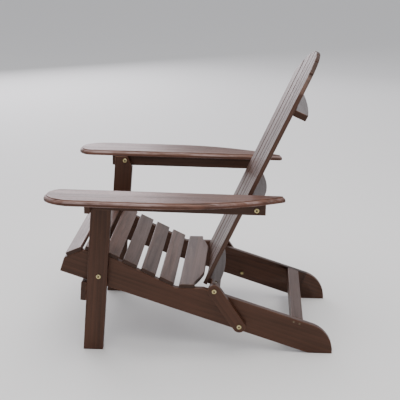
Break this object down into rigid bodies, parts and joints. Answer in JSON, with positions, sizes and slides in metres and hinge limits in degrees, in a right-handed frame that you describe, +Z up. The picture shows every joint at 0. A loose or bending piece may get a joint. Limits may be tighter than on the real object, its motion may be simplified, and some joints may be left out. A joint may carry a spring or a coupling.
{
  "type": "adirondack chair",
  "caption": "Folding slatted garden armchair with a dipped seat, a reclined fan-shaped back with an arched top, wide arms, and side links that let the back fold down over the seat.",
  "frame": {"origin": "on the ground under the middle of the outside box", "axes": "+Z up; the chair faces -Y; +X is the left-hand side of someone sitting in it"},
  "size_m": [0.72, 0.9174, 0.9588],
  "materials": {
    "frame_wood": "dark espresso stain with a satin outdoor oil, edges slightly worn",
    "slat_wood": "dark espresso stain with a satin outdoor oil, grain along each slat",
    "plated_steel": "yellow zinc plated steel, satin",
    "screw_steel": "dull bronze coated steel"
  },
  "bodies": {
    "seat_frame": {"left_side_rail": "frame_wood", "right_side_rail": "frame_wood", "rear_crossbar": "frame_wood", "seat_slat_1": "slat_wood", "seat_slat_2": "slat_wood", "seat_slat_3": "slat_wood", "seat_slat_4": "slat_wood", "seat_slat_5": "slat_wood", "seat_slat_6": "slat_wood", "seat_slat_7": "slat_wood", "seat_screws": "screw_steel", "crossbar_screws": "screw_steel", "leg_pivot_bolts": "plated_steel", "leg_pivot_nuts": "plated_steel", "link_pivot_bolts": "plated_steel", "link_pivot_nuts": "plated_steel", "rail_washers": "screw_steel"},
    "front_legs": {"left_front_leg": "frame_wood", "right_front_leg": "frame_wood", "front_stretcher": "frame_wood", "stretcher_screws": "screw_steel", "arm_pivot_bolts": "plated_steel", "arm_washers": "screw_steel"},
    "left_link_body": {"left_link": "frame_wood"},
    "right_link_body": {"right_link": "frame_wood"},
    "backrest": {"lower_crosspiece": "frame_wood", "middle_crosspiece": "frame_wood", "top_crosspiece": "frame_wood", "back_slat_1": "slat_wood", "back_slat_2": "slat_wood", "back_slat_3": "slat_wood", "back_slat_4": "slat_wood", "back_slat_5": "slat_wood", "back_slat_6": "slat_wood", "back_slat_7": "slat_wood", "back_screws": "screw_steel", "lower_back_bolts": "plated_steel", "upper_back_bolts": "plated_steel", "barrel_nuts": "plated_steel", "back_washers": "screw_steel"},
    "left_arm_body": {"left_arm": "frame_wood", "left_arm_support": "frame_wood", "left_arm_block": "frame_wood", "left_arm_screws": "screw_steel", "left_arm_nut": "plated_steel"},
    "right_arm_body": {"right_arm": "frame_wood", "right_arm_support": "frame_wood", "right_arm_block": "frame_wood", "right_arm_screws": "screw_steel", "right_arm_nut": "plated_steel"}
  },
  "joints": [
    {"name": "back_fold", "type": "hinge", "parent": "left_link_body", "child": "backrest", "pos_m": [0.239, 0.07001, 0.221], "axis": [1, 0, 0], "range_deg": [0, 179.75]},
    {"name": "left_link_fold", "type": "hinge", "parent": "seat_frame", "child": "left_link_body", "pos_m": [0.239, 0.15192, 0.09773], "axis": [1, 0, 0], "range_deg": [-85.05, 0]},
    {"name": "right_link_fold", "type": "hinge", "parent": "seat_frame", "child": "right_link_body", "pos_m": [-0.239, 0.15192, 0.09773], "axis": [1, 0, 0], "range_deg": [-85.05, 0]},
    {"name": "leg_fold", "type": "hinge", "parent": "seat_frame", "child": "front_legs", "pos_m": [0, -0.30528, 0.263], "axis": [1, 0, 0], "range_deg": [0, 51.24]},
    {"name": "left_arm_fold", "type": "hinge", "parent": "backrest", "child": "left_arm_body", "pos_m": [0.26, 0.20189, 0.50706], "axis": [1, 0, 0], "range_deg": [-110.52, 0]},
    {"name": "right_arm_fold", "type": "hinge", "parent": "backrest", "child": "right_arm_body", "pos_m": [-0.26, 0.20189, 0.50706], "axis": [1, 0, 0], "range_deg": [-110.52, 0]}
  ],
  "couplings": [
    {"joint": "left_link_fold", "follows": "back_fold", "ratio": -0.47287},
    {"joint": "right_link_fold", "follows": "back_fold", "ratio": -0.47287},
    {"joint": "leg_fold", "follows": "back_fold", "ratio": 0.28479},
    {"joint": "left_arm_fold", "follows": "back_fold", "ratio": -0.61458},
    {"joint": "right_arm_fold", "follows": "back_fold", "ratio": -0.61458}
  ]
}
